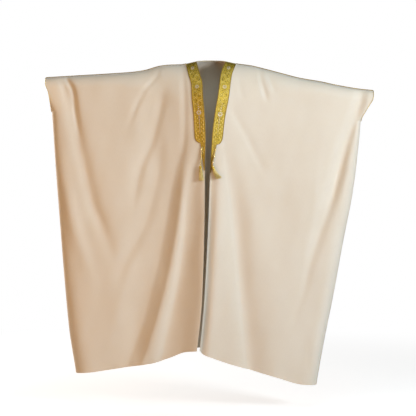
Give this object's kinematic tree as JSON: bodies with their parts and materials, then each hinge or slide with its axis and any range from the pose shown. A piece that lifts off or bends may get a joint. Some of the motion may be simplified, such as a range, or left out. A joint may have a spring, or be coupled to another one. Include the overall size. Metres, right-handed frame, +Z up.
{
  "type": "open-front bisht cloak (abaya family), worn with the arms spread",
  "caption": "Wide open-front cloak worn with spread arms: hollow cloth panels open at neck, front, hem and hand slits, with a gold band, braid, cords and tassels.",
  "frame": {"origin": "on the shoulder line, in the middle of the neck, where the wearer's shoulders hold the cloak", "axes": "+Z up, -Y to the front, +X to the wearer's left"},
  "size_m": [1.4877, 0.3026, 1.4725],
  "materials": {
    "cloth": "smooth cream worsted cloth with a soft sheen",
    "gold_band": "gold metallic thread embroidery",
    "gold_braid": "gold thread braid",
    "gold_cord": "twisted gold cord",
    "gold_tassel": "gold thread tassel"
  },
  "bodies": {
    "root": {"back": "cloth", "front_right": "cloth", "front_left": "cloth", "band_right": "gold_band", "band_left": "gold_band", "band_neck": "gold_band", "braid_right": "gold_braid", "braid_left": "gold_braid", "edging_right": "gold_braid", "edging_left": "gold_braid", "cord_right": "gold_cord", "cord_left": "gold_cord", "tassel_right": "gold_tassel", "tassel_left": "gold_tassel"}
  },
  "joints": []
}
